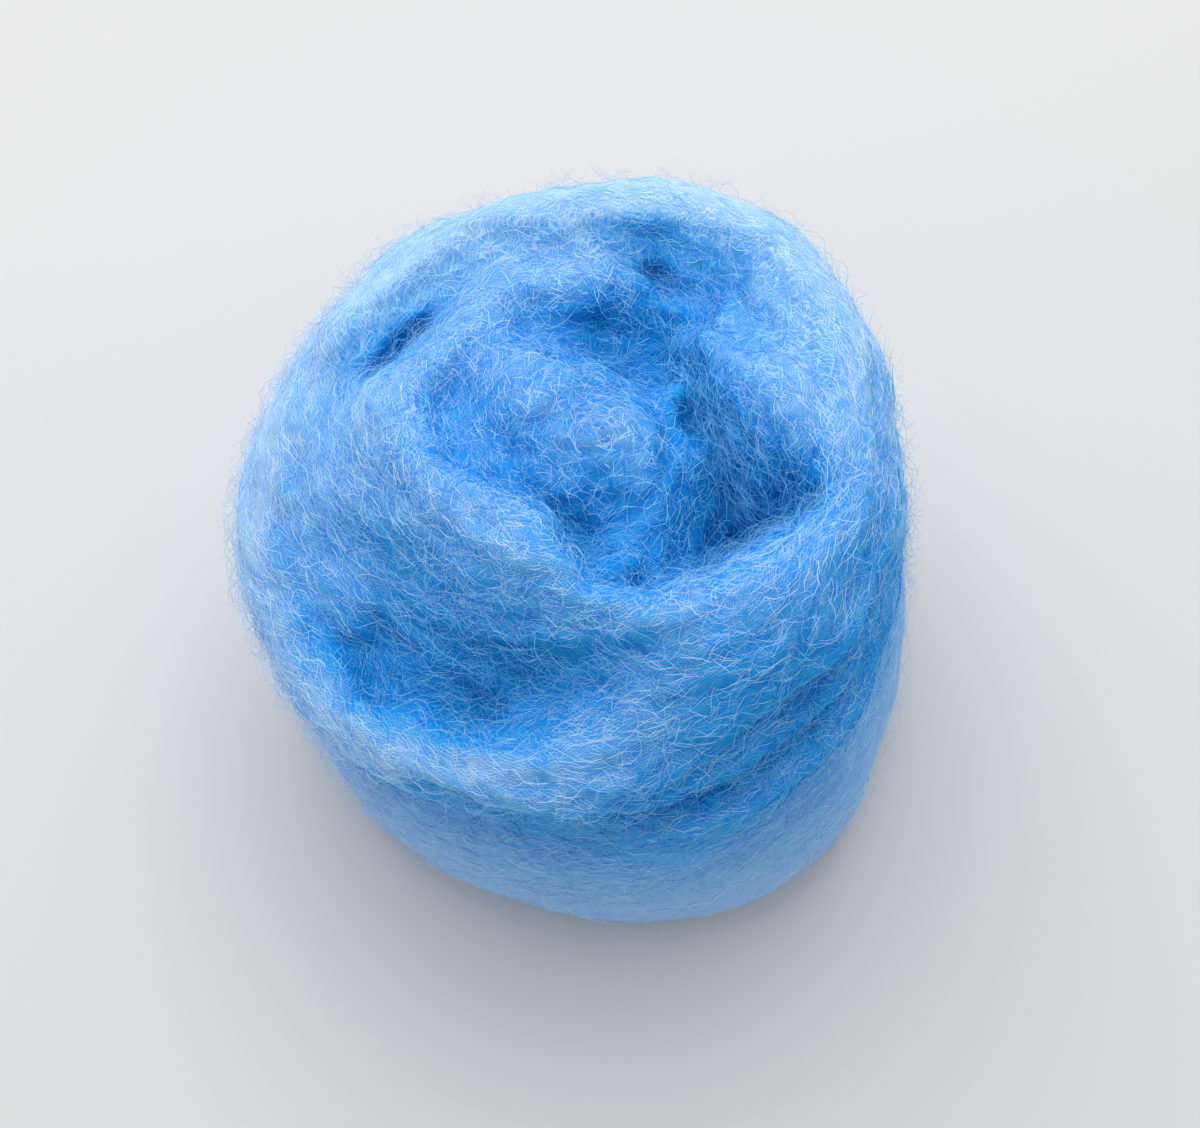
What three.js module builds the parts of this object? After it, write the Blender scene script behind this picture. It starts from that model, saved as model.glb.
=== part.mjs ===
// A roll of carded wool batting, stood on its end: one long, soft strip wound up loosely, so
// that its turns rise as ridges on the upper end and its outer layer overhangs the wall.
// Millimetres, +Z up. The origin is on the base, under the middle of the roll's box. +X is to
// the right and +Y away, seen from the roll's front.

import * as THREE from "three";

const { clamp, degToRad, euclideanModulo, lerp, radToDeg, smoothstep } = THREE.MathUtils;

// Driving dimensions
const WALL_HEIGHT = 88; // height that the rises in WALL are shares of
const SHOULDER_POWER = 7; // squareness of the shoulder between the wall and the wound end
const HOLLOW_FLOOR = 58; // lowest level between the turns
const CREASE_BLEND = 1.5; // how softly two turns meet in a crease
const CREST_BLEND = 3; // half the band over which a turn's slopes change at its crest
const BRIDGED_RADIUS = 2.5; // creases finer than this are bridged by the wool

// Mesh steps
const STEPS_AROUND = 98;
const STEPS_ACROSS_BASE = 5;
const STEPS_UP_WALL = 27;
const STEPS_ACROSS_END = 24;
const STEPS_ALONG_CREST = 48;
const STEPS_ALONG_FOLD = 140;
const BRIDGE_SAMPLES = 8;

// The outermost turn in plan, by direction in degrees from +X.
const OUTLINE = [
  { angle: 0, radius: 51 },
  { angle: 50, radius: 55.5 },
  { angle: 105, radius: 51.5 },
  { angle: 140, radius: 54 },
  { angle: 180, radius: 57.5 },
  { angle: 215, radius: 55.8 },
  { angle: 250, radius: 54 },
  { angle: 295, radius: 55.5 },
  { angle: 315, radius: 55 },
  { angle: 335, radius: 51 },
];

// The wall from the base up: the share of the outline that it reaches, and its middle's lean.
const WALL = [
  { rise: 0.0, reach: 0.87, leanX: 4, leanY: -1 },
  { rise: 0.04, reach: 0.94, leanX: 4, leanY: -1 },
  { rise: 0.15, reach: 0.98, leanX: 3, leanY: -1 },
  { rise: 0.4, reach: 0.99, leanX: 0, leanY: 0 },
  { rise: 0.6, reach: 1.02, leanX: -2, leanY: 0 },
  { rise: 0.85, reach: 1.0, leanX: -1, leanY: 0 },
  { rise: 1.05, reach: 1.0, leanX: 0, leanY: 0 },
];

// The strip's turns on the wound end. Inner and outer are how gently a turn falls away towards
// the middle and the wall. Each place along its crest is [angle, radius, height].
const TURNS = [
  { name: "outer turn, left", inner: 8, outer: 8, crest: [[205, 53, 62], [182, 51, 70], [152, 47, 81]] },
  { name: "outer turn, far left", inner: 8, outer: 8, crest: [[152, 47, 81], [125, 46, 86], [95, 44, 88]] },
  { name: "outer turn, far right", inner: 8, outer: 8, crest: [[95, 44, 88], [72, 45, 88], [48, 46, 87]] },
  { name: "outer turn, right", inner: 14, outer: 9, crest: [[48, 46, 87], [20, 42, 89], [-12, 42, 88]] },
  { name: "right lobe", inner: 5, outer: 14, crest: [[37, 23, 83], [10, 26, 87], [-8, 36, 87]] },
  { name: "front ridge, right", inner: 5, outer: 16, crest: [[-8, 43, 88], [-28, 39, 87], [-48, 35, 86]] },
  { name: "front ridge, middle", inner: 9, outer: 16, crest: [[-48, 35, 86], [-57, 33, 86], [-67, 31, 85]] },
  { name: "left ridge, front", inner: 8, outer: 7, crest: [[-67, 31, 85], [-95, 25, 85], [-125, 22, 85]] },
  { name: "left ridge", inner: 8, outer: 8, crest: [[-125, 22, 85], [-165, 26, 84], [172, 32, 82]] },
  { name: "upper left ridge", inner: 4, outer: 5, crest: [[172, 32, 82], [158, 30, 82], [143, 28, 80]] },
  { name: "second turn", inner: 9, outer: 8, crest: [[143, 28, 80], [118, 31, 81], [92, 32, 79]] },
  { name: "fold behind the core", inner: 5, outer: 5, crest: [[92, 32, 79], [70, 29, 77], [48, 27, 79]] },
  { name: "front lip", inner: 9, outer: 13, crest: [[-68, 43, 73], [-98, 46, 69], [-128, 50, 62]] },
  { name: "left lip", inner: 9, outer: 11, crest: [[-128, 50, 62], [-142, 51, 61], [-156, 52, 61]] },
  { name: "left slope", inner: 10, outer: 9, crest: [[-146, 38, 62], [-165, 41, 66], [172, 43, 72]] },
  { name: "core", inner: 22, outer: 22, crest: [[-40, 10, 74], [90, 3, 78], [135, 14, 78]] },
];

// Folds round the wall. Each place along a fold is [angle, height, depth], the depth inwards.
const WALL_FOLDS = [
  { name: "overhang", width: 8, line: [[-140, 50, 0], [-110, 56, -2.5], [-50, 73, -2.5], [-10, 76, 0]] },
  { name: "crease, left", width: 6.5, line: [[-220, 28, 1], [-170, 30, 3], [-128, 38, 5], [-90, 48, 6]] },
  { name: "crease, right", width: 6.5, line: [[-90, 48, 6], [-50, 63, 7], [-12, 66, 4], [30, 56, 1]] },
  { name: "lower crease", width: 6, line: [[-95, 17, 0], [-65, 29, 3.5], [-35, 39, 3.5], [5, 42, 0]] },
  { name: "far crease", width: 6, line: [[20, 40, 0], [60, 46, 2.5], [115, 50, 2.5], [165, 44, 0]] },
];

// Value of a column at a position along a table, eased between the rows on either side.
function valueAt(rows, key, column, position) {
  const last = rows.length - 1;
  const place = clamp(position, rows[0][key], rows[last][key]);
  const upper = clamp(rows.findIndex((row) => row[key] > place), 0, last) || last;
  const before = rows[upper - 1];
  const after = rows[upper];
  return lerp(before[column], after[column], smoothstep(place, before[key], after[key]));
}

const closedOutline = [...OUTLINE, { ...OUTLINE[0], angle: OUTLINE[0].angle + 360 }];

function outlineRadius(angle) {
  return valueAt(closedOutline, "angle", "radius", euclideanModulo(radToDeg(angle), 360));
}

const turns = TURNS.map(({ inner, outer, crest }) => {
  const places = crest.map(([angle, radius, height]) =>
    new THREE.Vector3(radius * Math.cos(degToRad(angle)), radius * Math.sin(degToRad(angle)), height),
  );
  const points = new THREE.CatmullRomCurve3(places).getPoints(STEPS_ALONG_CREST);
  return { inner, outer, points };
});

// Height of one turn at a place in plan: the highest of the round backs along its crest.
function turnHeight({ inner, outer, points }, x, y) {
  let highest = HOLLOW_FLOOR;
  for (const point of points) {
    const outside = Math.hypot(x, y) - Math.hypot(point.x, point.y);
    const gentleness = lerp(inner, outer, smoothstep(outside, -CREST_BLEND, CREST_BLEND));
    const fall = ((x - point.x) ** 2 + (y - point.y) ** 2) / gentleness;
    highest = Math.max(highest, point.z - fall);
  }
  return highest;
}

// All the turns together: the highest one at each place, blended where two meet in a crease.
function windingHeight(x, y) {
  const heights = turns.map((turn) => turnHeight(turn, x, y));
  const highest = Math.max(...heights);
  const blend = heights.reduce((sum, height) => sum + Math.exp((height - highest) / CREASE_BLEND), 0);
  return highest + CREASE_BLEND * Math.log(blend);
}

// Height of the wound end, with the finest creases bridged by averaging over a small ring.
function endHeight(x, y) {
  let sum = windingHeight(x, y);
  for (let sample = 0; sample < BRIDGE_SAMPLES; sample++) {
    const turn = (2 * Math.PI * sample) / BRIDGE_SAMPLES;
    sum += windingHeight(x + BRIDGED_RADIUS * Math.cos(turn), y + BRIDGED_RADIUS * Math.sin(turn));
  }
  return sum / (BRIDGE_SAMPLES + 1);
}

const wallFolds = WALL_FOLDS.map(({ width, line }) => {
  const places = line.map(([angle, height, depth]) => new THREE.Vector3(degToRad(angle), height, depth));
  return { width, points: new THREE.CatmullRomCurve3(places).getPoints(STEPS_ALONG_FOLD) };
});

// How far the folds draw the wall in at a direction and height, creases and overhangs together.
function foldDepth(angle, height, radius) {
  let crease = 0;
  let overhang = 0;
  for (const { width, points } of wallFolds) {
    for (const { x: foldAngle, y: foldHeight, z: foldDeep } of points) {
      const turn = euclideanModulo(angle - foldAngle + Math.PI, 2 * Math.PI) - Math.PI;
      const distance = Math.hypot(turn * radius, height - foldHeight);
      const depth = foldDeep * Math.exp(-((distance / width) ** 2));
      crease = Math.max(crease, depth);
      overhang = Math.min(overhang, depth);
    }
  }
  return crease + overhang;
}

// Unit profile, from the middle of the base outwards, up the wall and over the wound end.
function unitProfile() {
  const shoulder = 2 ** (-1 / SHOULDER_POWER);
  const matching = (share) => (1 - share ** SHOULDER_POWER) ** (1 / SHOULDER_POWER);
  const profile = [];
  for (let step = 0; step <= STEPS_ACROSS_BASE; step++) {
    profile.push(new THREE.Vector2(step / STEPS_ACROSS_BASE, 0));
  }
  for (let step = 1; step <= STEPS_UP_WALL; step++) {
    const rise = (shoulder * step) / STEPS_UP_WALL;
    profile.push(new THREE.Vector2(matching(rise), rise));
  }
  for (let step = 1; step <= STEPS_ACROSS_END; step++) {
    const reach = shoulder * (1 - step / STEPS_ACROSS_END);
    profile.push(new THREE.Vector2(reach, matching(reach)));
  }
  return profile;
}

// The unit barrel that the profile turns into, shaped place by place into the roll.
function rollGeometry() {
  const geometry = new THREE.LatheGeometry(unitProfile(), STEPS_AROUND);
  geometry.rotateX(Math.PI / 2);
  const position = geometry.getAttribute("position");
  for (let index = 0; index < position.count; index++) {
    const angle = Math.atan2(position.getY(index), position.getX(index));
    const reach = Math.hypot(position.getX(index), position.getY(index));
    const plan = reach * outlineRadius(angle);
    const height = position.getZ(index) * endHeight(plan * Math.cos(angle), plan * Math.sin(angle));
    const rise = height / WALL_HEIGHT;
    const drawnIn = reach ** SHOULDER_POWER * foldDepth(angle, height, plan);
    const radius = plan * valueAt(WALL, "rise", "reach", rise) - drawnIn;
    const x = radius * Math.cos(angle) + valueAt(WALL, "rise", "leanX", rise);
    const y = radius * Math.sin(angle) + valueAt(WALL, "rise", "leanY", rise);
    position.setXYZ(index, x, y, height);
  }
  geometry.deleteAttribute("normal");
  geometry.deleteAttribute("uv");
  geometry.computeBoundingBox();
  const middle = geometry.boundingBox.getCenter(new THREE.Vector3());
  geometry.translate(-middle.x, -middle.y, 0);
  return geometry;
}

// Sky blue dyed wool
const wool = new THREE.MeshStandardMaterial({ color: 0x5fa4ea, roughness: 1, metalness: 0 });

const woolRoll = new THREE.Mesh(rollGeometry(), wool);
woolRoll.name = "wool_roll";

const part = new THREE.Group();
part.add(woolRoll);

export default part;
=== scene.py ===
import math

import bpy
import numpy as np
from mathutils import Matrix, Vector, noise
from mathutils.bvhtree import BVHTree


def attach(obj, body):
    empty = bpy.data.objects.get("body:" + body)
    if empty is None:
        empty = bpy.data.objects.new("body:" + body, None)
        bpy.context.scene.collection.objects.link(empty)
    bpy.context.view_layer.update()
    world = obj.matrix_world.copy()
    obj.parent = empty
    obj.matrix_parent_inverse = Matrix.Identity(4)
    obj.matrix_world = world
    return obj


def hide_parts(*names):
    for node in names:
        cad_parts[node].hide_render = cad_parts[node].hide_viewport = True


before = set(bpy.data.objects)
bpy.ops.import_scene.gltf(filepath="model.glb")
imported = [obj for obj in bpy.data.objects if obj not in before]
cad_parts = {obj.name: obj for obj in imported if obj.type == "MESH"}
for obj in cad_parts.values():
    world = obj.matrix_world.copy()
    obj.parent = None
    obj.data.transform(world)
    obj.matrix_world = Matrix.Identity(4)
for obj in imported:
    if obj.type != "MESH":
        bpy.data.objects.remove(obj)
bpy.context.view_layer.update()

# Wool body: the carded strip itself, wound up loosely and dyed sky blue. It is soft, springy wool that
# only its own weight presses. The solid is given a finer skin, its facets are smoothed off, and the
# creases between the turns, the folds of the wall and the tufts are pressed into that skin.
MM = 0.001
SKIN_STEP = 0.9 * MM
FACET_ROUNDS = 8


def read_vertices(mesh, key):
    """A vertex property of a mesh, such as its places or normals, as rows of three numbers."""
    values = np.zeros(len(mesh.vertices) * 3, np.float32)
    mesh.vertices.foreach_get(key, values)
    return values.reshape(-1, 3).astype(float)


def renew_skin(body):
    """Gives the body an even skin of small faces, and returns its mesh, places and edges."""
    remesh = body.modifiers.new("skin", "REMESH")
    remesh.mode = "VOXEL"
    remesh.voxel_size = SKIN_STEP
    skin = bpy.data.meshes.new_from_object(body.evaluated_get(bpy.context.evaluated_depsgraph_get()))
    body.modifiers.clear()
    body.data = skin
    edges = np.zeros(len(skin.edges) * 2, np.int32)
    skin.edges.foreach_get("vertices", edges)
    return skin, read_vertices(skin, "co"), edges.reshape(-1, 2)


def move_skin(skin, places):
    """Moves the skin's vertices, and returns its normals there."""
    skin.vertices.foreach_set("co", places.ravel())
    skin.update()
    return read_vertices(skin, "normal")


def spread(values, edges, rounds):
    """Values at vertices, each moved half way to the mean of its neighbours, as many times as asked."""
    count = len(values)
    columns = values.reshape(count, -1)
    ends = np.concatenate([edges[:, 0], edges[:, 1]])
    others = np.concatenate([edges[:, 1], edges[:, 0]])
    degree = np.bincount(ends, minlength=count)[:, None]
    for _ in range(rounds):
        sums = [np.bincount(ends, column[others], count) for column in columns.T]
        columns = 0.5 * columns + 0.5 * np.stack(sums, 1) / degree
    return columns.reshape(values.shape)


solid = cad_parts["wool_roll"]
body = bpy.data.objects.new("wool_body", solid.data.copy())
bpy.context.scene.collection.objects.link(body)
skin, places, edges = renew_skin(body)
places = spread(places, edges, FACET_ROUNDS)
normals = move_skin(skin, places)

# Creases on the wound end: a width, and the x, y and depth of places along each, in millimetres.
CREASES = [
    ("upper left", 1.2,
     [(-34, 14.5, 1), (-31.5, 17.5, 3.5), (-28, 21.8, 5.5), (-24, 24.8, 5), (-21, 27, 1.5)]),
    ("behind the core", 2.4,
     [(-4, 20.5, 1), (0, 21, 2), (4, 20.5, 2.5), (9.5, 20.5, 3), (13.5, 20, 5)]),
    ("right of the core", 2.2,
     [(13.5, 20, 6), (16.5, 15, 6.5), (19.5, 7.5, 6.5), (22, 2, 6), (25, -4.5, 6)]),
    ("far fold", 2.6,
     [(6, 27, 1), (10, 25, 3), (14, 22.5, 5), (17.5, 23, 5), (20.5, 25.5, 4), (24, 28, 1.5)]),
    ("far hole", 1.5,
     [(9, 36, 1), (11.4, 33.5, 3), (14.5, 30, 3), (18.5, 27, 2.5), (24, 28, 1)]),
    ("right hollow", 3.2,
     [(36, -10, 3), (32, -8.5, 7), (28, -8.5, 7), (24, -9, 6), (21, -11, 3)]),
    ("left of the core", 2.4,
     [(-23, 4.5, 1), (-19.5, -2.5, 3), (-12.5, -6, 4), (-4, -8.5, 4), (1, -11, 4), (0, -15, 3)]),
    ("front of the core", 3.6,
     [(0, -15, 5), (3, -22, 6.5), (9, -23, 7.5), (16.5, -20, 6.5), (22, -13, 4)]),
    ("left valley", 3.4,
     [(-39, -10, 2), (-32.4, -14, 3), (-27.4, -18, 4), (-22, -22.5, 5.5), (-17, -27, 6.5)]),
    ("left valley, front", 4.0,
     [(-17, -27, 6.5), (-11.5, -31.5, 6), (-4, -34, 5), (3, -34.5, 3.5), (7, -34.5, 2)]),
    ("left hollow", 6.0,
     [(-40.6, -18, 3), (-36.4, -23, 6), (-31, -26.5, 8), (-25, -29.5, 8), (-14, -33, 6)]),
]
CREASE_STEPS = 20  # from each place along a crease to the next
CREASE_ROUNDS = 3
# Swellings of the wound end: the x and y of the middle, the radius and the height, in millimetres.
PUFFS = [
    ("core, left", -9, 7, 13, 6),
    ("core, right", 7, 1, 11, 5),
    ("core, front left", -7, -3, 8, 4.5),
    ("core, front", 6, -9, 9, 2.5),
    ("core, far", 2, 14, 8, 2),
    ("right lobe", 29, 6, 7, 2),
]
# Folds of the outer layer on the wall: a width, and the x, y, z and depth of places along each.
WALL_FOLDS = [
    ("under the lip", 2.6,
     [(-34, -40, 52, 1), (-21, -47, 53, 2.5), (-7, -51, 54, 3.5), (8, -49, 50, 4), (17, -47, 50.5, 4.5),
      (29, -42, 53.5, 4.5), (37, -36.5, 54.5, 4.5), (43.5, -29, 55, 4), (48, -19, 56, 3),
      (49.5, -9, 58, 1.5)]),
    ("above the lip", 2.4,
     [(27, -40, 60, 0.5), (33.5, -35, 62.5, 2.5), (37, -31.5, 65, 3.5), (41, -26.5, 68, 3.5),
      (44.5, -19, 70, 3), (46.5, -9, 72, 1.5)]),
    ("lower fold", 3.0,
     [(12, -51, 40, 0.5), (22, -49.5, 43, 2), (30, -46, 44, 2.5), (41, -37, 46.5, 2.5), (46.5, -27, 48, 2),
      (49, -18, 49, 0.5)]),
]
FOLD_STEPS = 14
LIP_RISE = 4.5  # the lip over each fold is this much higher, in millimetres
LIP_SHARE = 0.4  # and stands out by this share of the fold's depth
END_LOWEST = 45 * MM  # the wound end is shaped only above this height
END_FACING = (-0.1, 0.2)  # how far a place faces up, from the wall to the wound end
PLAN_WAVE = 7 * MM
PLAN_SWING = 1.6  # how far the waves move a place in plan, in millimetres


def noise_at(points, wave):
    """Smooth noise from -1 to 1 at each point, with that wave length."""
    return np.array([noise.noise(point) for point in (points / wave).tolist()])


def waved_plan(places):
    """Places in plan, in millimetres, moved to and fro so that nothing drawn on them is even."""
    flat = places * np.array([1, 1, 0])
    waves = np.stack([noise_at(flat, PLAN_WAVE), noise_at(flat + 1, PLAN_WAVE)], 1)
    return places[:, :2] / MM + PLAN_SWING * waves


def along_line(line, steps):
    """Places along a bent line, with that many steps from each row of it to the next."""
    line = np.array(line, float)
    shares = np.linspace(0, len(line) - 1, steps * (len(line) - 1))
    return np.stack([np.interp(shares, np.arange(len(line)), column) for column in line.T], 1)


def depths_along(points, rows, steps):
    """How far the lines in those rows press in at each point, each falling off with its width."""
    deepest = np.zeros(len(points))
    for _, width, line in rows:
        for *middle, depth_and_shade in along_line(line, steps):
            apart = ((points - middle) ** 2).sum(1)
            deepest = np.maximum(deepest, depth_and_shade * np.exp(-apart / width**2))
    return deepest


def share_between(values, low, high):
    """How far each value is from the low one, at 0, to the high one, at 1, and no further."""
    return np.clip((values - low) / (high - low), 0, 1)


plan = waved_plan(places)
puffed = np.zeros(len(places))
for _, puff_x, puff_y, puff_radius, puff_height in PUFFS:
    apart = (plan[:, 0] - puff_x) ** 2 + (plan[:, 1] - puff_y) ** 2
    puffed = np.maximum(puffed, puff_height * np.exp(-apart / puff_radius**2))
pressed = depths_along(plan, CREASES, CREASE_STEPS)
on_top = share_between(normals[:, 2], *END_FACING) * (places[:, 2] > END_LOWEST)
places[:, 2] += (puffed - pressed) * on_top * MM
folds = depths_along(places / MM, WALL_FOLDS, FOLD_STEPS)
lips = depths_along(places / MM - (0, 0, LIP_RISE), WALL_FOLDS, FOLD_STEPS)
places += normals * ((LIP_SHARE * lips - folds) * MM)[:, None]
move_skin(skin, places)
skin, places, edges = renew_skin(body)
skin.name = "wool_body"
places = spread(places, edges, CREASE_ROUNDS)
normals = move_skin(skin, places)

# tufts along the wrap, lower at the foot of the wall, and none where the wool is pressed on the floor
AXIS = np.array([3.1, 1.05]) * MM  # the middle of the winding, in plan
WRAP_RISE = 0.35  # how steeply the strip rises on the front wall
TUFT_HEIGHT = 0.9 * MM
TUFT_WAVE = 5 * MM
TUFT_STEPS = 3
TUFT_PACE = 2.5 * MM
FINE_HEIGHT = 0.5 * MM
FINE_WAVE = 2.4 * MM
FINE_STEPS = 2
FINE_PACE = 1.5 * MM
LUMP_HEIGHT = 0.9 * MM
LUMP_WAVE = 13 * MM
FOOT_RELIEF = 0.55  # share of the tufts' height that is left at the foot
LOOSE_HEIGHTS = (30 * MM, 55 * MM)
PRESSED_HEIGHTS = (0, 6 * MM)


def wrap_direction(points):
    """The way the strip is wound at each point: round the axis, and rising on the front wall."""
    offset = points[:, :2] - AXIS
    radius = np.maximum(np.linalg.norm(offset, axis=1), 1e-6)
    along = np.stack([-offset[:, 1], offset[:, 0], np.zeros(len(points))], 1) / radius[:, None]
    along[:, 2] = WRAP_RISE * np.maximum(0, -offset[:, 1] / radius)
    return along


def drawn_noise(points, along, wave, steps, pace):
    """Noise drawn out along the wrap, from that many paces before each point to as many after it."""
    total = np.zeros(len(points))
    for step in range(-steps, steps + 1):
        total += noise_at(points + along * step * pace, wave) / steps
    return total


along = wrap_direction(places)
tufts = drawn_noise(places, along, TUFT_WAVE, TUFT_STEPS, TUFT_PACE)
fine_tufts = drawn_noise(places, along, FINE_WAVE, FINE_STEPS, FINE_PACE)
relief = TUFT_HEIGHT * tufts + FINE_HEIGHT * fine_tufts + LUMP_HEIGHT * noise_at(places, LUMP_WAVE)
relief *= FOOT_RELIEF + (1 - FOOT_RELIEF) * share_between(places[:, 2], *LOOSE_HEIGHTS)
relief *= share_between(places[:, 2], *PRESSED_HEIGHTS)
places = places + normals * relief[:, None]
places[:, 2] = np.maximum(places[:, 2], 0)
normals = move_skin(skin, places)

# the share of the sky that each place can't see, which is painted in below as shade
SKY_RAYS = 12
SKY_SPREAD = 0.98
SKY_SEED = 11
RAY_LENGTH = 50 * MM
RAY_START = 0.6 * MM


def unit(vectors):
    """Vectors made one long."""
    return vectors / np.maximum(np.linalg.norm(vectors, axis=-1, keepdims=True), 1e-9)


skin_tree = BVHTree.FromObject(body, bpy.context.evaluated_depsgraph_get())
rng = np.random.default_rng(SKY_SEED)
hidden = np.zeros(len(places))
starts = (places + normals * RAY_START).tolist()
for _ in range(SKY_RAYS):
    rays = normals + SKY_SPREAD * unit(rng.normal(size=normals.shape))
    for index, (start, ray) in enumerate(zip(starts, rays.tolist())):
        if skin_tree.ray_cast(start, ray, RAY_LENGTH)[0] is not None:
            hidden[index] += 1 / SKY_RAYS

# how far each place belongs to the foot of the wall and to the thin rim that light comes through, both
# painted paler below
FOOT_HEIGHTS = (50 * MM, 10 * MM)
LEFT_FACING = (0.25, 0.65)
LEFT_RADII = (43 * MM, 51 * MM)
FAR_SIDE = (-0.25, 0.65)
FAR_RADII = (25 * MM, 42 * MM)
RIM_HEIGHTS = (40 * MM, 60 * MM)
RIM_ROUNDS = 6
RIM_WAVE = 9 * MM
RIM_EVEN = 0.85
RIM_UNEVEN = 0.4
RIM_NOISE_SHIFT = 0.4  # metres, so that this noise isn't the tufts' noise
CREASE_FACING = (-0.3, 0.7)
CREASE_SHADE_DEPTH = 5  # millimetres of crease that would take all of the rim's light
CREASE_SHADE_MOST = 0.8
heights = places[:, 2]
offset = places[:, :2] - AXIS
radii = np.linalg.norm(offset, axis=1)
foot = share_between(heights, *FOOT_HEIGHTS)
between = depths_along(waved_plan(places), CREASES, CREASE_STEPS)
between = between * (heights > END_LOWEST) * share_between(normals[:, 2], *CREASE_FACING)
left_edge = share_between(-normals[:, 0], *LEFT_FACING) * share_between(radii, *LEFT_RADII)
far_rim = share_between(radii, *FAR_RADII) * share_between(offset[:, 1] / radii, *FAR_SIDE)
rim = np.maximum(far_rim, left_edge) * share_between(heights, *RIM_HEIGHTS)
rim = rim * (1 - np.clip(between / CREASE_SHADE_DEPTH, 0, CREASE_SHADE_MOST))
rim_noise = noise_at(places + RIM_NOISE_SHIFT, RIM_WAVE)
rim = spread(rim, edges, RIM_ROUNDS) * (RIM_EVEN + RIM_UNEVEN * rim_noise)

# how far each place is a crest, or lies in a fold, or is turned away from the light, for the painted light
# and shade below
LIGHT_WAY = np.array([0.07, 0.37, 0.93])  # where most of the light in the photograph comes from
LIGHT_FACING = (0.5, -0.1)
LEFT_EDGE_GLOW = 0.9  # share of its painted shade that is taken off the left edge, which light shows through
FORM_ROUNDS = 160  # rounds that leave only the large form
CREST_HEIGHTS = (0, 2.5 * MM)
FOLD_HEIGHTS = (0.3 * MM, -1.2 * MM)
WALL_FACING = (0.5, 0.2)
FRONT_RIGHT_WAY = np.array([0.45, -0.8, 0])
FRONT_RIGHT_FACING = (0.25, 0.65)
RIGHT_SIDE = (0, 15 * MM)
FRONT_FACING = (0, 2 / 3)
LIP_HEIGHTS = (46 * MM, 58 * MM)
LIP_RIGHT_END = 20 * MM
# patches of painted shade in front of the core and of painted light on the right lobe
CORE_FRONT = ((4 * MM, -17 * MM), 9 * MM)  # a patch's middle in plan, and its radius
LOBE = ((33 * MM, 8 * MM), 13 * MM)


def patch(places, normals, middle, radius):
    """A soft round patch of the wound end, from its middle in plan and its radius."""
    apart = ((places[:, :2] - middle) ** 2).sum(1)
    return np.exp(-apart / radius**2) * (normals[:, 2] > 0)


raised = np.einsum("ij,ij->i", places - spread(places, edges, FORM_ROUNDS), normals)
crest = share_between(raised, *CREST_HEIGHTS)
folded = share_between(raised, *FOLD_HEIGHTS) * share_between(normals[:, 2], *WALL_FACING)
shaded = share_between(normals @ LIGHT_WAY, *LIGHT_FACING) * (1 - foot) * (1 - LEFT_EDGE_GLOW * left_edge)
turned = share_between(normals @ FRONT_RIGHT_WAY, *FRONT_RIGHT_FACING)
turned = turned * share_between(places[:, 0], *RIGHT_SIDE)
core_front = patch(places, normals, *CORE_FRONT)
lobe = patch(places, normals, *LOBE)
lip = share_between(-normals[:, 1], *FRONT_FACING) * share_between(heights, *LIP_HEIGHTS)
lip = lip * (places[:, 0] < LIP_RIGHT_END)

# painted shade, the deep blue of light through much wool: 0 on the open turns, up to 1 in hollows,
# creases, folds and on sides turned from the light
HIDDEN_WEIGHT = 1.5
TURNED_WEIGHT = 0.255
CORE_FRONT_WEIGHT = 0.18
FOLDED_WEIGHT = 0.6
SHADED_WEIGHT = 0.4
BETWEEN_WEIGHT = 0.045
RIM_THINNESS = 0.5
SOFT_ROUNDS = 8
FINE_ROUNDS = 4
painted_shade = spread(HIDDEN_WEIGHT * hidden + SHADED_WEIGHT * shaded, edges, SOFT_ROUNDS)
painted_shade += (TURNED_WEIGHT * turned + FOLDED_WEIGHT * spread(folded, edges, FINE_ROUNDS)) * (1 - foot)
painted_shade += CORE_FRONT_WEIGHT * core_front + BETWEEN_WEIGHT * between
painted_shade = np.clip(spread(painted_shade, edges, FINE_ROUNDS) * (1 - RIM_THINNESS * rim), 0, 1)

# painted light, greatest on the thin rim and at the foot, less on crests, tufts, the lip and the right
# lobe, and dimmed by painted shade
EVEN_PALENESS = 0.03
CREST_PALENESS = 0.12
RIM_PALENESS = 0.8
TUFT_PALENESS = 0.06
LOBE_PALENESS = 0.1
LIP_PALENESS = 0.14
FOOT_PALENESS = 0.65
LIGHT_LOST_TO_SHADE = 0.75
LIP_ROUNDS = 12


def set_values(mesh, name, values):
    """Stores one number for each vertex as a named attribute."""
    mesh.attributes.new(name, "FLOAT", "POINT").data.foreach_set("value", values.astype(np.float32))


lit = EVEN_PALENESS + CREST_PALENESS * spread(crest, edges, SOFT_ROUNDS) + RIM_PALENESS * rim
lit += TUFT_PALENESS * tufts + LOBE_PALENESS * lobe + LIP_PALENESS * spread(lip, edges, LIP_ROUNDS)
lit = np.clip(lit, 0, 1) * (1 - LIGHT_LOST_TO_SHADE * painted_shade)
lit = np.maximum(lit, FOOT_PALENESS * foot)
set_values(skin, "painted_shade", painted_shade)
set_values(skin, "lit", lit)
set_values(skin, "foot", foot)

# the dye, deeper and darker with painted shade: the ground between the fibres, and a pale strand of fibre
# on it
GROUND = [
    (0.0, (0.022, 0.32, 0.84)),
    (0.3, (0.015, 0.30, 0.78)),
    (0.6, (0.006, 0.29, 0.80)),
    (1.0, (0.004, 0.22, 0.57)),
]
PALE_STRAND = [
    (0.0, (0.60, 0.80, 0.98)),
    (0.3, (0.30, 0.67, 0.94)),
    (0.6, (0.11, 0.55, 0.93)),
    (1.0, (0.04, 0.40, 0.82)),
]


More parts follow.
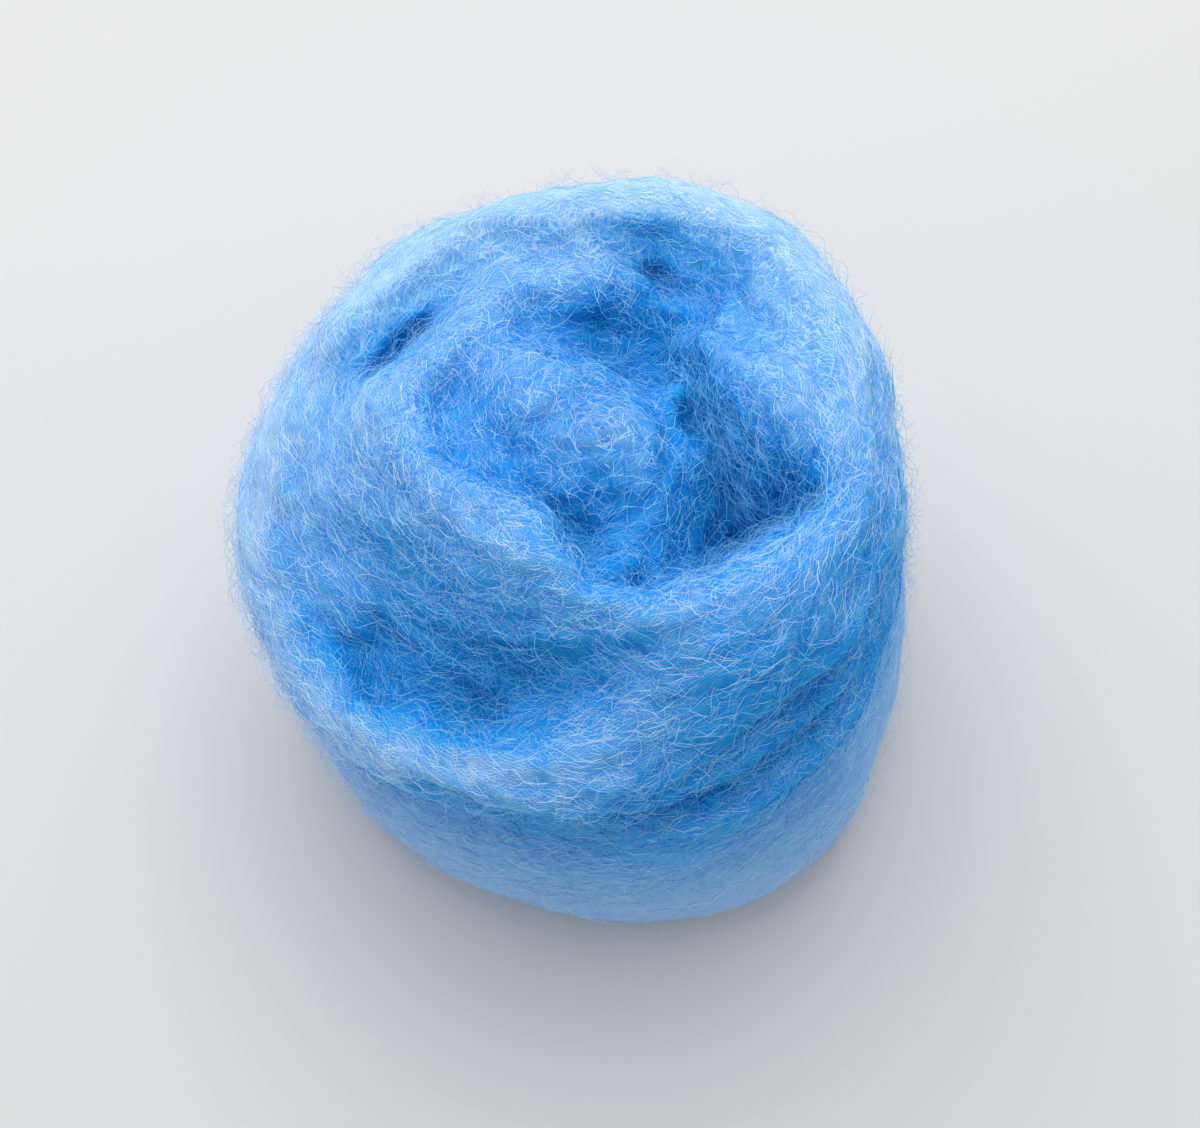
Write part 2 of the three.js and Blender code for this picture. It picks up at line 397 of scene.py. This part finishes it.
def new_group(name, inputs, outputs):
    """An empty shader node group with those sockets, and its input and output nodes."""
    group = bpy.data.node_groups.new(name, "ShaderNodeTree")
    for label, kind in inputs:
        group.interface.new_socket(label, in_out="INPUT", socket_type=kind)
    for label, kind in outputs:
        group.interface.new_socket(label, in_out="OUTPUT", socket_type=kind)
    return group, group.nodes.new("NodeGroupInput"), group.nodes.new("NodeGroupOutput")


def colour_ramp(tree, value, stops):
    """A colour that runs with a value through those stops."""
    node = tree.nodes.new("ShaderNodeValToRGB")
    elements = node.color_ramp.elements
    while len(elements) < len(stops):
        elements.new(0.5)
    for element, (position, colour) in zip(elements, stops):
        element.position = position
        element.color = (*colour, 1)
    tree.links.new(value, node.inputs[0])
    return node.outputs["Color"]


def mixed(tree, factor, first, second):
    """A colour between the first and the second, which may be a socket or a plain colour."""
    node = tree.nodes.new("ShaderNodeMix")
    node.data_type = "RGBA"
    tree.links.new(factor, node.inputs["Factor"])
    tree.links.new(first, node.inputs["A"])
    if isinstance(second, tuple):
        node.inputs["B"].default_value = (*second, 1)
    else:
        tree.links.new(second, node.inputs["B"])
    return node.outputs["Result"]


shaded_dye, shaded_dye_in, shaded_dye_out = new_group(
    "dyed_wool_painted_shade",
    [("Depth", "NodeSocketFloat"), ("Strand", "NodeSocketFloat")],
    [("Color", "NodeSocketColor")],
)
ground = colour_ramp(shaded_dye, shaded_dye_in.outputs["Depth"], GROUND)
pale_strand = colour_ramp(shaded_dye, shaded_dye_in.outputs["Depth"], PALE_STRAND)
shaded_dye.links.new(mixed(shaded_dye, shaded_dye_in.outputs["Strand"], ground, pale_strand), shaded_dye_out.inputs["Color"])

# lines of crimped fibre: even lines, bent to and fro by noise and broken off in patches
LINE_GAP = 0.7 * MM
LINE_STEP = (0.35, 1.0)
CRIMP_WAVE = 3.4 * MM
CRIMP_LINES = 4.5  # how many gaps wide the crimp swings
PATCH_WAVE = 2.2 * MM
PATCH_STEP = (0.38, 0.62)
PATCH_LAYER = 20.0  # keeps the patches' noise apart from the crimp's


def math_node(tree, operation, first, second=None):
    """A Math node's output, for two sockets or numbers."""
    node = tree.nodes.new("ShaderNodeMath")
    node.operation = operation
    for socket, value in zip(node.inputs, (first, second)):
        if value is None:
            continue
        if isinstance(value, (int, float)):
            socket.default_value = value
        else:
            tree.links.new(value, socket)
    return node.outputs[0]


def scaled(tree, value, factor, base):
    """A value times a factor, added to a base."""
    return math_node(tree, "ADD", math_node(tree, "MULTIPLY", value, factor), base)


def layered_noise(tree, vector, layer, wave):
    """Smooth noise of that wave length in a node tree, different for each layer."""
    node = tree.nodes.new("ShaderNodeTexNoise")
    node.noise_dimensions = "4D"
    node.inputs["Scale"].default_value = 1 / wave
    node.inputs["Detail"].default_value = 1.6
    tree.links.new(vector, node.inputs["Vector"])
    tree.links.new(layer, node.inputs["W"])
    return node.outputs["Fac"]


def step_between(tree, value, low, high):
    """A value's smooth step from 0 at the low end to 1 at the high end."""
    node = tree.nodes.new("ShaderNodeMapRange")
    node.interpolation_type = "SMOOTHSTEP"
    node.inputs["From Min"].default_value = low
    node.inputs["From Max"].default_value = high
    tree.links.new(value, node.inputs["Value"])
    return node.outputs["Result"]


lines, lines_in, lines_out = new_group(
    "crimped_lines",
    [("Vector", "NodeSocketVector"), ("Across", "NodeSocketFloat"), ("Layer", "NodeSocketFloat")],
    [("Line", "NodeSocketFloat")],
)
bends = layered_noise(lines, lines_in.outputs["Vector"], lines_in.outputs["Layer"], CRIMP_WAVE)
patch_layer = math_node(lines, "ADD", lines_in.outputs["Layer"], PATCH_LAYER)
patches = layered_noise(lines, lines_in.outputs["Vector"], patch_layer, PATCH_WAVE)
straight = math_node(lines, "DIVIDE", lines_in.outputs["Across"], LINE_GAP)
number = scaled(lines, bends, CRIMP_LINES, straight)
even_lines = math_node(lines, "COSINE", math_node(lines, "MULTIPLY", number, 2 * math.pi))
even_lines = step_between(lines, even_lines, *LINE_STEP)
broken_lines = math_node(lines, "MULTIPLY", even_lines, step_between(lines, patches, *PATCH_STEP))
lines.links.new(broken_lines, lines_out.inputs["Line"])

# the wool: three layers of pale lines, a layer of dark gaps painted as shade between the fibres, painted
# sheen towards the edge of the view and painted light on the foot
STRAND_SLOPES = (0.35, -0.5, 1.2)
GAP_SLOPE = 0.1
LAYER_STEP = 3.7
ARC_RADIUS = 35 * MM
# painted shade that the dark gaps between the fibres add
GAP_SHADE = 0.4
FOOT_LINES = 0.6  # how much of the lines is left at the foot
STRAND_PALENESS = 0.55  # how pale a line is where no light comes through
STRAND_LIT = 0.35  # how much paler light makes a line
GROUND_LIT = 0.6  # how much paler it makes the ground
# painted sheen, paler where the surface turns from the view
EDGE_POWER = 3.5
EDGE_PALENESS = 0.9
# painted light on the foot: the paler, greyer blue that it is mixed towards
FOOT_LIGHT_COLOUR = (0.36, 0.55, 0.86)
FOOT_LIGHT_SHARE = 0.5


def new_material(name, roughness, specular):
    """A material of that roughness and specular level, and its Principled shader."""
    material = bpy.data.materials.new(name)
    material.use_nodes = True
    shader = material.node_tree.nodes["Principled BSDF"]
    shader.inputs["Roughness"].default_value = roughness
    shader.inputs["Specular IOR Level"].default_value = specular
    return material, shader


def attribute(tree, name):
    """A mesh attribute's value in a material."""
    node = tree.nodes.new("ShaderNodeAttribute")
    node.attribute_name = name
    return node.outputs["Fac"]


def shaded_dye_colour(tree, depth_and_shade, strand):
    """The wool's colour in a material, darkened by that painted shade and paled by that share of pale
    strand.
    """
    node = tree.nodes.new("ShaderNodeGroup")
    node.node_tree = shaded_dye
    tree.links.new(depth_and_shade, node.inputs["Depth"])
    tree.links.new(strand, node.inputs["Strand"])
    return node.outputs["Color"]


def line_layer(tree, position, across_wrap, arc, layer, slope):
    """One layer of crimped lines in a material, crossing the wrap at that slope."""
    node = tree.nodes.new("ShaderNodeGroup")
    node.node_tree = lines
    node.inputs["Layer"].default_value = LAYER_STEP * layer
    tree.links.new(position, node.inputs["Vector"])
    tree.links.new(scaled(tree, arc, slope, across_wrap), node.inputs["Across"])
    return node.outputs["Line"]


wool, shader = new_material("wool", roughness=0.9, specular=0.0)
tree = wool.node_tree
position = tree.nodes.new("ShaderNodeTexCoord").outputs["Object"]
split = tree.nodes.new("ShaderNodeSeparateXYZ")
tree.links.new(position, split.inputs[0])
wool_x = math_node(tree, "SUBTRACT", split.outputs["X"], float(AXIS[0]))
wool_y = math_node(tree, "SUBTRACT", split.outputs["Y"], float(AXIS[1]))
around = math_node(tree, "ARCTAN2", wool_x, math_node(tree, "MULTIPLY", wool_y, -1.0))
arc = math_node(tree, "MULTIPLY", around, ARC_RADIUS)
square_x = math_node(tree, "MULTIPLY", wool_x, wool_x)
square_y = math_node(tree, "MULTIPLY", wool_y, wool_y)
from_axis = math_node(tree, "SQRT", math_node(tree, "ADD", square_x, square_y))
across_wrap = math_node(tree, "SUBTRACT", from_axis, split.outputs["Z"])
strand = line_layer(tree, position, across_wrap, arc, 0, STRAND_SLOPES[0])
for layer, slope in enumerate(STRAND_SLOPES[1:], 1):
    crossing = line_layer(tree, position, across_wrap, arc, layer, slope)
    strand = math_node(tree, "MAXIMUM", strand, crossing)
# dark gaps between the fibres, painted as shade
painted_gap_shade = line_layer(tree, position, across_wrap, arc, len(STRAND_SLOPES), GAP_SLOPE)
at_foot = attribute(tree, "foot")
above_foot = math_node(tree, "SUBTRACT", 1.0, at_foot)
strand = math_node(tree, "MULTIPLY", strand, scaled(tree, above_foot, 1 - FOOT_LINES, FOOT_LINES))
painted_gap_shade = math_node(tree, "MULTIPLY", painted_gap_shade, math_node(tree, "MULTIPLY", above_foot, GAP_SHADE))
painted_shade_here = math_node(tree, "ADD", attribute(tree, "painted_shade"), painted_gap_shade)
# painted light from the mesh makes the lines and the ground paler
lit_here = attribute(tree, "lit")
lit_strand = math_node(tree, "MULTIPLY", strand, scaled(tree, lit_here, STRAND_LIT, STRAND_PALENESS))
paleness = scaled(tree, lit_here, GROUND_LIT, lit_strand)
# painted sheen: the wool turns paler towards the edge of the view
edge = tree.nodes.new("ShaderNodeLayerWeight")
edge.inputs["Blend"].default_value = 0.5
painted_edge_sheen = math_node(tree, "POWER", edge.outputs["Facing"], EDGE_POWER)
painted_edge_sheen = math_node(tree, "MULTIPLY", painted_edge_sheen, math_node(tree, "MULTIPLY", above_foot, EDGE_PALENESS))
wool_colour = shaded_dye_colour(tree, painted_shade_here, math_node(tree, "ADD", paleness, painted_edge_sheen))
# painted light on the foot, mixed towards a paler, greyer blue
foot_light = math_node(tree, "MULTIPLY", at_foot, FOOT_LIGHT_SHARE)
tree.links.new(mixed(tree, foot_light, wool_colour, FOOT_LIGHT_COLOUR), shader.inputs["Base Color"])
bump = tree.nodes.new("ShaderNodeBump")
bump.inputs["Strength"].default_value = 0.5
bump.inputs["Distance"].default_value = 0.2 * MM
tree.links.new(strand, bump.inputs["Height"])
tree.links.new(bump.outputs["Normal"], shader.inputs["Normal"])
skin.materials.clear()
skin.materials.append(wool)
skin.shade_smooth()
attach(body, "root")
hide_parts("wool_roll")

# Fibres: single crimped hairs of the carded wool, lying along the wrap on every turn and tangled over
# the core. Each is a thin closed tube whose ends go into the wool and whose middle stands a little off it.
START_SCATTER = 0.4 * MM
SWING_RANGE = (0.5, 1.5)
CRIMP_LENGTHS = (4.5, 8.0)  # millimetres from one wave of a fibre to the next
BEND_SCATTER = 0.5
RISE_RANGE = (0.3, 1.7)
FLOW_WAVE = 14 * MM
FLOW_TURN = 0.8  # how far the noise turns a whole tuft of fibres, in radians
STANDING_RISE = 3  # a hair with a free end stands this much higher
STANDING_POWER = 1.6
ROOT_DEPTH = 0.15 * MM
FLOOR_GAP = 0.2 * MM
faces = np.zeros(len(skin.polygons) * 4, np.int32)
skin.polygons.foreach_get("vertices", faces)
faces = faces.reshape(-1, 4)
face_middles = places[faces].mean(1)
face_heights = face_middles[:, 2]
face_normals = normals[faces].mean(1)
face_painted_shade = painted_shade[faces].mean(1)
face_lit = lit[faces].mean(1)
face_foot = foot[faces].mean(1)
face_areas = np.zeros(len(skin.polygons), np.float32)
skin.polygons.foreach_get("area", face_areas)


def settle(points):
    """The nearest places on the skin, with its smooth normals and the faces they are on."""
    found = [skin_tree.find_nearest(point) for point in points.tolist()]
    near = np.array([hit[0][:] for hit in found])
    index = np.array([hit[2] for hit in found])
    return near, face_normals[index], index


def across(first, second):
    """Cross product of two sets of vectors, each made one long."""
    return unit(np.cross(first, second))


def fibre_paths(rng, weights, count, segments, length, scatter, swing, loft, stray):
    """Paths of that many crimped fibres over the skin, as rows of points, and the faces they start on."""
    start = rng.choice(len(weights), count, p=weights / weights.sum())
    scattered = face_middles[start] + rng.normal(scale=START_SCATTER, size=(count, 3))
    point, normal, origin = settle(scattered)
    lengths = rng.uniform(*length, count) * MM
    heading = rng.normal(scale=scatter, size=count) + np.pi * rng.integers(0, 2, count)
    swings = swing * rng.uniform(*SWING_RANGE, count)
    waves = rng.uniform(*CRIMP_LENGTHS, count) * MM
    phases = rng.uniform(0, 2 * np.pi, count)
    bend = rng.normal(scale=BEND_SCATTER, size=count)
    rise = loft * rng.uniform(*RISE_RANGE, count) * MM
    free = rng.random(count) < stray
    points = []
    outward = []
    for step in range(segments + 1):
        share = step / segments
        points.append(point)
        outward.append(normal)
        flow = FLOW_TURN * noise_at(point, FLOW_WAVE)
        crimp = swings * np.sin(2 * np.pi * share * lengths / waves + phases)
        angle = heading + flow + bend * share + crimp
        side = across(normal, wrap_direction(point))
        ahead = across(side, normal)
        move = ahead * np.cos(angle)[:, None] + side * np.sin(angle)[:, None]
        point, normal, _ = settle(point + move * (lengths / segments)[:, None])
    shares = np.linspace(0, 1, segments + 1)
    lying = np.outer(rise, np.sin(np.pi * shares))
    standing = np.outer(rise * STANDING_RISE, shares**STANDING_POWER)
    lift = np.where(free[:, None], standing, lying) - ROOT_DEPTH
    paths = np.stack(points, 1) + np.stack(outward, 1) * lift[:, :, None]
    paths[:, :, 2] = np.maximum(paths[:, :, 2], FLOOR_GAP)
    return paths, origin


# tubes along those paths
SIDES = 3
TUBE_LEAST = 0.35  # share of a tube's width that doesn't taper
TAPER_START = 0.08  # how far along its half wave the rest of the width starts
TUBE_SIDE = np.array([0.31, 0.17, 0.93])  # a direction that no fibre runs along exactly
TUBE_FLOOR_GAP = 0.05 * MM
CELL_MARGIN = 0.15


def bake_map(mesh, count, quads_each):
    """Gives each fibre one cell of a UV map, so that a baked picture keeps its colour."""
    cells = math.ceil(math.sqrt(count))
    cell = np.stack([np.arange(count) % cells, np.arange(count) // cells], 1)
    low = CELL_MARGIN
    high = 1 - CELL_MARGIN
    square = np.array([(low, low), (high, low), (high, high), (low, high)])
    on_quads = np.repeat(cell, quads_each, axis=0)[:, None] + square
    on_ends = np.tile(cell[:, None] + square[:SIDES], (2, 1, 1))
    picture = np.concatenate([on_quads.reshape(-1, 2), on_ends.reshape(-1, 2)]) / cells
    mesh.uv_layers.new(name="OFBake").data.foreach_set("uv", picture.ravel().astype(np.float32))


def tube_mesh(name, paths, widths, depth_and_shade, strand):
    """An object of closed tubes along the paths, joined in one mesh and thinner at their ends."""
    count, steps = paths.shape[:2]
    ahead = unit(np.gradient(paths, axis=1))
    side = across(ahead, np.broadcast_to(TUBE_SIDE, ahead.shape))
    up = across(side, ahead)
    taper = np.sin(np.pi * np.linspace(TAPER_START, 1 - TAPER_START, steps))
    taper = TUBE_LEAST + (1 - TUBE_LEAST) * taper
    radius = (widths[:, None] * taper / 2)[:, :, None]
    ring = []
    for corner in range(SIDES):
        turn = 2 * np.pi * corner / SIDES
        ring.append(paths + radius * (np.cos(turn) * side + np.sin(turn) * up))
    vertices = np.stack(ring, 2).reshape(-1, 3)
    vertices[:, 2] = np.maximum(vertices[:, 2], TUBE_FLOOR_GAP)
    firsts = np.arange(count) * steps * SIDES
    low = firsts[:, None, None] + np.arange(steps - 1)[None, :, None] * SIDES
    high = low + SIDES
    corners = np.arange(SIDES)[None, None, :]
    after = (corners + 1) % SIDES
    quads = np.stack([low + corners, low + after, high + after, high + corners], 3).reshape(-1, 4)
    heads = firsts[:, None] + np.arange(SIDES)[::-1]
    tails = firsts[:, None] + (steps - 1) * SIDES + np.arange(SIDES)
    loops = np.concatenate([quads.ravel(), heads.ravel(), tails.ravel()])
    sizes = np.concatenate([np.full(len(quads), 4), np.full(2 * count, SIDES)])
    mesh = bpy.data.meshes.new(name)
    mesh.vertices.add(len(vertices))
    mesh.vertices.foreach_set("co", vertices.ravel())
    mesh.loops.add(len(loops))
    mesh.loops.foreach_set("vertex_index", loops.astype(np.int32))
    mesh.polygons.add(len(sizes))
    mesh.polygons.foreach_set("loop_start", (np.cumsum(sizes) - sizes).astype(np.int32))
    mesh.update(calc_edges=True)
    bake_map(mesh, count, (steps - 1) * SIDES)
    set_values(mesh, "painted_shade", np.repeat(depth_and_shade, steps * SIDES))
    set_values(mesh, "strand", np.repeat(strand, steps * SIDES))
    mesh.shade_flat()
    piece = bpy.data.objects.new(name, mesh)
    bpy.context.scene.collection.objects.link(piece)
    return piece


# each fibre has a colour of its own: pale if it lies uppermost, near the ground's colour if not, with the
# painted light and shade of where it starts, and paler at the foot
FIBRE_SEED = 100
FIBRE_COUNT = 7200
FIBRE_SEGMENTS = 4
FIBRE_SWING = 0.36
FIBRE_LOFT = 0.25
FIBRE_STRAY = 0.12
FIBRE_WIDTH = (0.10, 0.16)
UPPER_STRAND = (0.6, 1.1)
LOWER_STRAND = (0.0, 0.12)
FOOT_STRAND = (0.65, 1.0)
LIT_STRAND = 0.8
UPPER_SHADE = 0.42  # share of the painted shade that shows on an uppermost fibre
UPPER_LOSS = 0.25  # how many fewer are uppermost where the painted shade is deepest
FOOT_LOSS = 0.7  # share of the painted shade that is lost at the foot
UP_FACING = 0.35
CORE_RADIUS = 33 * MM
WALL_HEIGHTS = (1 * MM, 31 * MM)
fibre, shader = new_material("wool_fibre", roughness=0.6, specular=0.0)
tree = fibre.node_tree
fibre_colour = shaded_dye_colour(tree, attribute(tree, "painted_shade"), attribute(tree, "strand"))
tree.links.new(fibre_colour, shader.inputs["Base Color"])
fibre_painted_shade = face_painted_shade * (1 - FOOT_LOSS * face_foot)
faces_up = face_normals[:, 2] > UP_FACING
in_core = np.linalg.norm(face_middles[:, :2] - AXIS, axis=1) < CORE_RADIUS
down_wall = share_between(face_heights, *WALL_HEIGHTS)
# Zones: where the fibres lie, their length in millimetres, how far they turn from the wrap in radians,
# and the share of them that lies uppermost.
ZONES = [
    ("core_fibres", faces_up & in_core, (3, 6), 0.8, 0.46),
    ("turn_fibres", faces_up & ~in_core, (4, 8), 0.42, 0.46),
    ("wall_fibres", ~faces_up * down_wall, (4, 8), 0.36, 0.26),
]
for zone, (name, where, length, scatter, upper_share) in enumerate(ZONES):
    rng = np.random.default_rng(FIBRE_SEED + zone)
    weights = face_areas * where
    form = (FIBRE_COUNT, FIBRE_SEGMENTS, length, scatter, FIBRE_SWING, FIBRE_LOFT, FIBRE_STRAY)
    paths, origin = fibre_paths(rng, weights, *form)
    depth_and_shade = fibre_painted_shade[origin]
    near_foot = face_foot[origin]
    widths = rng.uniform(*FIBRE_WIDTH, FIBRE_COUNT) * MM
    upper = rng.random(FIBRE_COUNT) < upper_share - UPPER_LOSS * depth_and_shade
    upper_strands = rng.uniform(*UPPER_STRAND, FIBRE_COUNT)
    lower_strands = rng.uniform(*LOWER_STRAND, FIBRE_COUNT)
    strands = LIT_STRAND * face_lit[origin] + np.where(upper, upper_strands, lower_strands)
    strands = np.clip(strands, 0, 1) * (1 - near_foot) + near_foot * rng.uniform(*FOOT_STRAND, FIBRE_COUNT)
    piece = tube_mesh(name, paths, widths, depth_and_shade * np.where(upper, UPPER_SHADE, 1.0), strands)
    piece.data.materials.append(fibre)
    piece.visible_shadow = False  # light passes through wool this thin
    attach(piece, "root")

# Loose hairs: thin single fibres that carding has left standing off the wool, pale where light passes
# through them. They make the soft edge that the roll shows against the floor.
HAIR_SEED = 200
# share of the painted shade that shows on a hair
HAIR_SHADE = 0.42
HAIR_STRAND = (0.55, 1.0)
HAIR_HEIGHTS = (4 * MM, 44 * MM)
FRINGE_FACING = (0.35, 0.75)
FRINGE_LEAST = 0.1  # share of the fringe's hairs on faces that don't face left
hairy = share_between(face_heights, *HAIR_HEIGHTS) * (1 + face_painted_shade)
everywhere = np.ones(len(face_areas))
on_left = np.maximum(share_between(-face_normals[:, 0], *FRINGE_FACING), FRINGE_LEAST)
# Kinds: where the hairs grow, their count, segments, length in millimetres, turn from the wrap,
# swing of the crimp, loft, share with a free end, and width in millimetres.
HAIR_KINDS = [
    ("fuzz_hairs", everywhere, 5400, 3, (3.5, 7), 1.2, 1.1, 0.8, 0.5, (0.05, 0.08)),
    ("loose_hairs", everywhere, 1500, 7, (8, 15), 1.2, 0.9, 0.9, 0.35, (0.05, 0.07)),
    ("fringe_hairs", on_left, 3200, 5, (6, 12), 0.5, 0.6, 1.9, 0.0, (0.05, 0.08)),
]
for kind, (name, where, count, *form, width) in enumerate(HAIR_KINDS):
    rng = np.random.default_rng(HAIR_SEED + kind)
    weights = face_areas * hairy * where
    paths, origin = fibre_paths(rng, weights, count, *form)
    widths = rng.uniform(*width, count) * MM
    strands = rng.uniform(*HAIR_STRAND, count)
    hairs = tube_mesh(name, paths, widths, fibre_painted_shade[origin] * HAIR_SHADE, strands)
    hairs.data.materials.append(fibre)
    hairs.visible_shadow = False
    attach(hairs, "root")

# Floor: a plain pale table top, matt, that the roll stands on. It isn't part of the object,
# and it stands in for the photograph's white cloth.
HALF = 2.0  # half the floor's side
FLOOR_COLOUR = (0.73, 0.72, 0.71, 1)
floor_mesh = bpy.data.meshes.new("floor")
floor_corners = [(-HALF, -HALF, 0), (HALF, -HALF, 0), (HALF, HALF, 0), (-HALF, HALF, 0)]
floor_mesh.from_pydata(floor_corners, [], [(0, 1, 2, 3)])
floor = bpy.data.objects.new("floor", floor_mesh)
bpy.context.scene.collection.objects.link(floor)
pale_floor, shader = new_material("pale_floor", roughness=0.9, specular=0.1)
shader.inputs["Base Color"].default_value = FLOOR_COLOUR
floor_mesh.materials.append(pale_floor)

# Light: one large soft window behind and above, a little to the left, and a pale room all round.
# It is plain daylight, and neither the window nor a lamp is seen.
WINDOW_PLACE = (-0.06, 0.33, 0.68)
WINDOW_TARGET = (0, 0, 0.04)
ROOM_COLOUR = (0.96, 0.98, 1.0, 1)


def aim(thing, place, target):
    """Puts a light or a camera at a place and turns it towards a target."""
    thing.location = place
    thing.rotation_mode = "QUATERNION"
    thing.rotation_quaternion = (Vector(target) - Vector(place)).to_track_quat("-Z", "Y")
    bpy.context.scene.collection.objects.link(thing)


world = bpy.data.worlds.new("room")
world.use_nodes = True
background = world.node_tree.nodes["Background"]
background.inputs["Color"].default_value = ROOM_COLOUR
background.inputs["Strength"].default_value = 0.62
bpy.context.scene.world = world
window_light = bpy.data.lights.new("window", "AREA")
window_light.shape = "DISK"
window_light.size = 0.9
window_light.energy = 4.1
window = bpy.data.objects.new("window", window_light)
aim(window, WINDOW_PLACE, WINDOW_TARGET)

# Camera: above the roll's front, as the photograph was taken, looking down at about 64 degrees
# through a long lens.
CAMERA_PLACE = (0.00309, -0.1894, 0.4265)
CAMERA_TARGET = (0.00309, -0.00095, 0.040)
camera_data = bpy.data.cameras.new("camera")
camera_data.sensor_width = 36
camera_data.lens = 77.7
camera = bpy.data.objects.new("camera", camera_data)
aim(camera, CAMERA_PLACE, CAMERA_TARGET)
bpy.context.scene.camera = camera
bpy.context.scene.view_settings.view_transform = "Standard"
